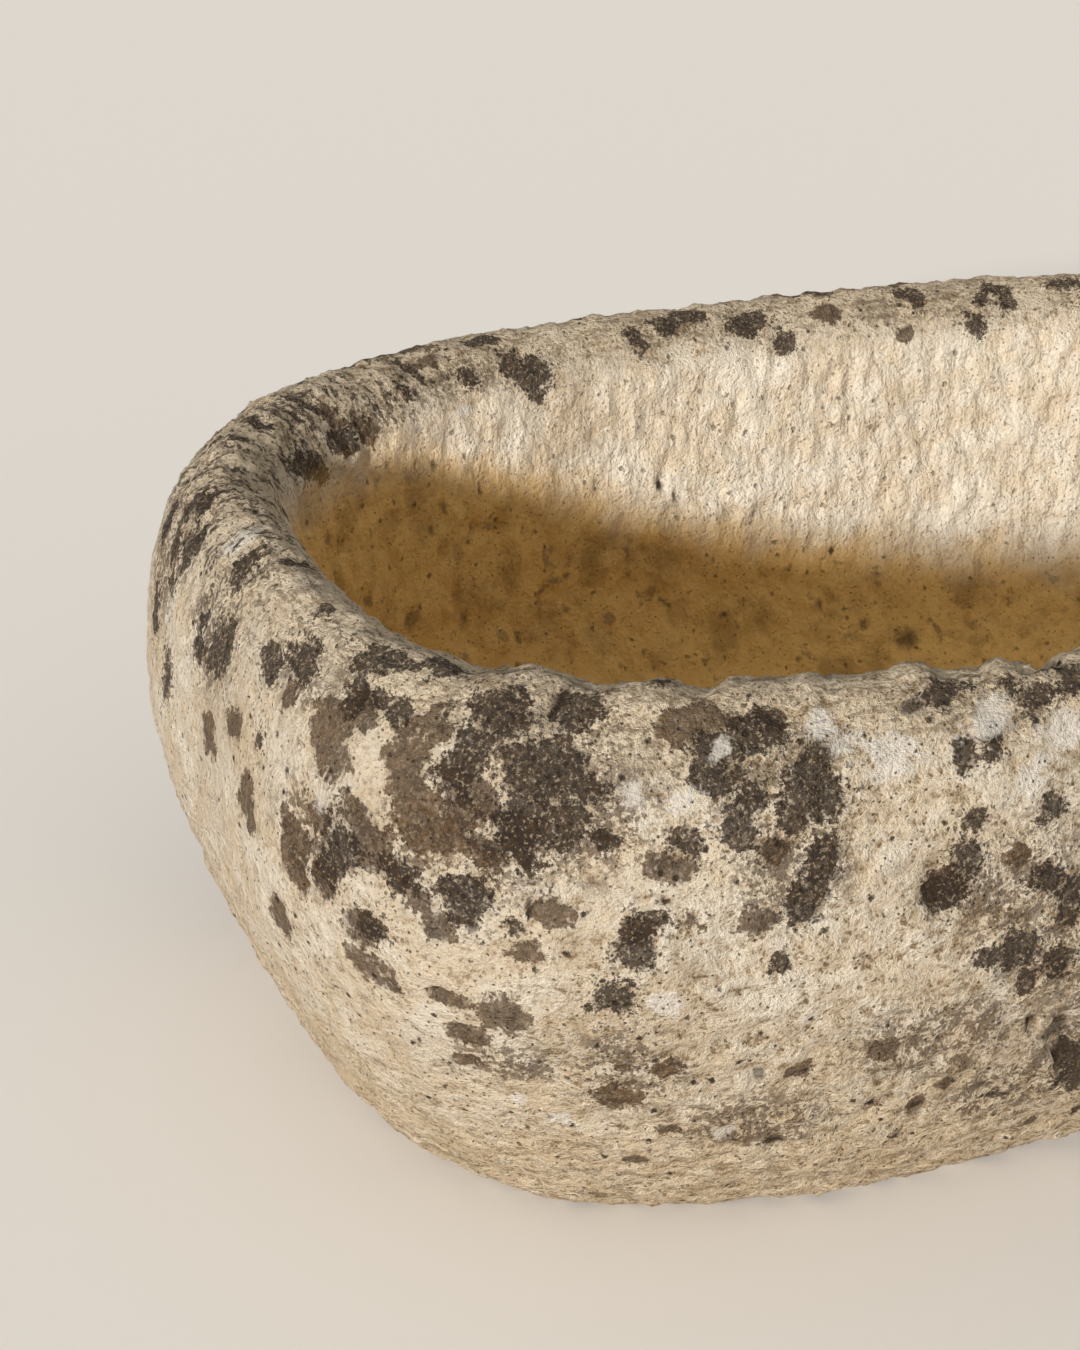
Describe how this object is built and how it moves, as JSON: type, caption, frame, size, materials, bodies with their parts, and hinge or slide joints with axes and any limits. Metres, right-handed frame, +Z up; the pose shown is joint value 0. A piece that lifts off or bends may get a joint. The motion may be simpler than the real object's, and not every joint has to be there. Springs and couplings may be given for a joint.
{
  "type": "stone jardiniere",
  "caption": "Long rounded planter trough carved from one block of pale shelly limestone, with a thick worn rim, a deep basin and a pull-out bung in its drain hole.",
  "frame": {"origin": "on the ground under the middle of the trough", "axes": "+X along the trough's length, towards the end that the picture cuts off; +Y across it, away from the picture's camera; +Z up"},
  "size_m": [0.767, 0.4874, 0.2542],
  "materials": {
    "limestone": "rough, pitted and lichened",
    "oak": "turned, weathered and damp-stained"
  },
  "bodies": {
    "trough": {"stone_trough": "limestone"},
    "bung": {"drain_bung": "oak"}
  },
  "joints": [
    {"name": "bung_lift", "type": "slide", "parent": "trough", "child": "bung", "axis": [0, 0, 1], "range_m": [0, 0.12]}
  ]
}
